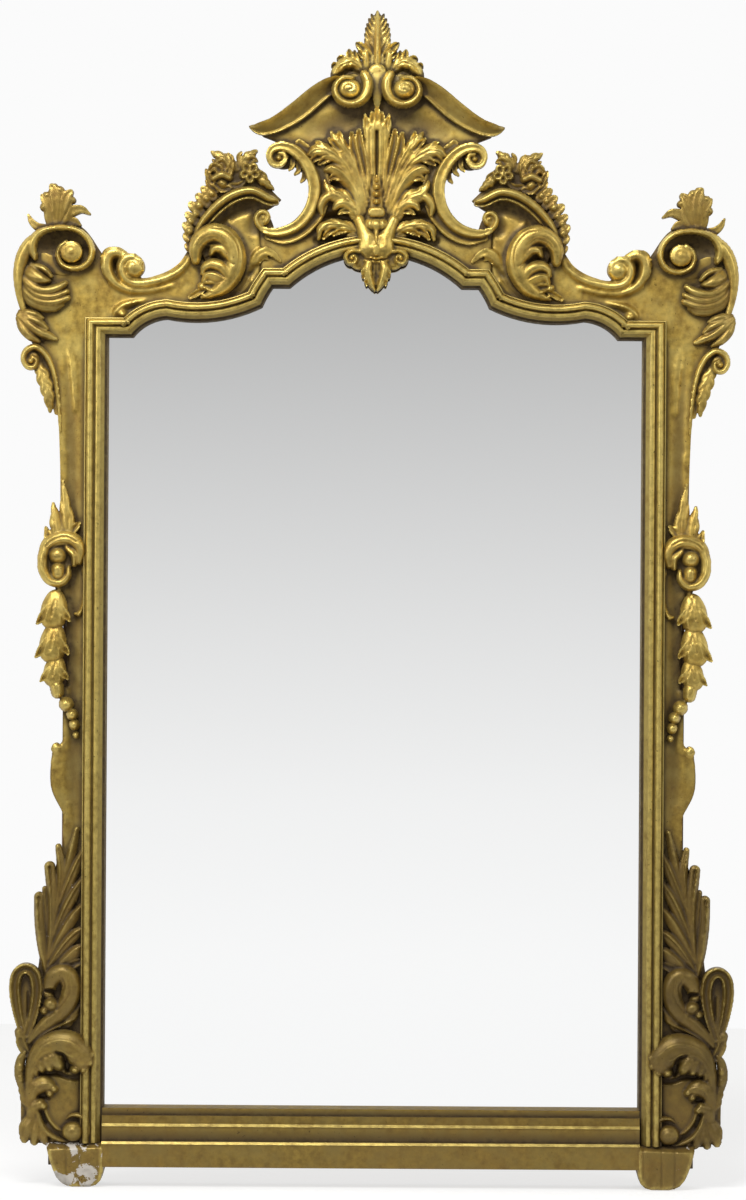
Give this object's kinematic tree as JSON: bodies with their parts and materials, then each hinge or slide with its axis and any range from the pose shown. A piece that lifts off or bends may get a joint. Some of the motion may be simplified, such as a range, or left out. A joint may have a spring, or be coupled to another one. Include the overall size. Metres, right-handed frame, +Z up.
{
  "type": "wall mirror",
  "caption": "Tall arched wall mirror in a carved giltwood frame with a scrolled crest, flower sprays, husk garlands, acanthus above its feet and hanging rings at the back.",
  "frame": {"origin": "on the wall plane, middle of the lower edge of the bottom rail's back face", "axes": "+Z up the mirror, +Y into the wall, so the carved front faces -Y; +X to the right seen from the front"},
  "size_m": [1.1136, 0.078, 1.7999],
  "materials": {
    "gilding": "worn water gilding over red bole on carved wood",
    "worn_gilding": "rubbed and toned gilding on carved wood",
    "carcase_wood": "bare aged softwood",
    "backboard_wood": "bare aged softwood boards",
    "mirror_glass": "silvered plate glass",
    "hanger_brass": "dull brass",
    "screw_steel": "darkened steel"
  },
  "bodies": {
    "frame": {"backboard_screws": "screw_steel", "backboards": "backboard_wood", "bottom_rail": "carcase_wood", "brace_screws": "screw_steel", "crest_bead_drop": "gilding", "crest_board": "gilding", "crest_brace": "carcase_wood", "crest_finial": "gilding", "crest_palmette": "gilding", "crest_pendant": "gilding", "crest_volutes": "gilding", "glazing_blocks": "carcase_wood", "hanger_screws": "screw_steel", "left_arch_moulding": "gilding", "left_bottom_acanthus": "worn_gilding", "left_bottom_boss": "worn_gilding", "left_c_scroll": "gilding", "left_corner_acanthus": "gilding", "left_corner_leaf": "gilding", "left_corner_scroll": "gilding", "left_corner_volute": "gilding", "left_flower_spray": "gilding", "left_foot": "worn_gilding", "left_hanger_strap": "hanger_brass", "left_hood_moulding": "gilding", "left_husk_garland": "gilding", "left_mid_scroll": "gilding", "left_reed_spray": "gilding", "left_shoulder_acanthus": "gilding", "left_shoulder_board": "gilding", "left_side_board": "gilding", "left_sight_moulding": "gilding", "left_stile": "carcase_wood", "mirror_glass": "mirror_glass", "plinth_board": "worn_gilding", "plinth_fascia": "worn_gilding", "right_arch_moulding": "gilding", "right_bottom_acanthus": "worn_gilding", "right_bottom_boss": "worn_gilding", "right_c_scroll": "gilding", "right_corner_acanthus": "gilding", "right_corner_leaf": "gilding", "right_corner_scroll": "gilding", "right_corner_volute": "gilding", "right_flower_spray": "gilding", "right_foot": "worn_gilding", "right_hanger_strap": "hanger_brass", "right_hood_moulding": "gilding", "right_husk_garland": "gilding", "right_mid_scroll": "gilding", "right_reed_spray": "gilding", "right_shoulder_acanthus": "gilding", "right_shoulder_board": "gilding", "right_side_board": "gilding", "right_sight_moulding": "gilding", "right_stile": "carcase_wood", "top_rail": "carcase_wood", "top_sight_moulding": "gilding"},
    "left_ring": {"left_hanger_ring": "hanger_brass"},
    "right_ring": {"right_hanger_ring": "hanger_brass"}
  },
  "joints": [
    {"name": "left_ring_swing", "type": "hinge", "parent": "frame", "child": "left_ring", "pos_m": [-0.4545, -0.0041, 1.13004], "axis": [1, 0, 0], "range_deg": [0, 180]},
    {"name": "right_ring_swing", "type": "hinge", "parent": "frame", "child": "right_ring", "pos_m": [0.4545, -0.0041, 1.13004], "axis": [1, 0, 0], "range_deg": [0, 180]}
  ]
}
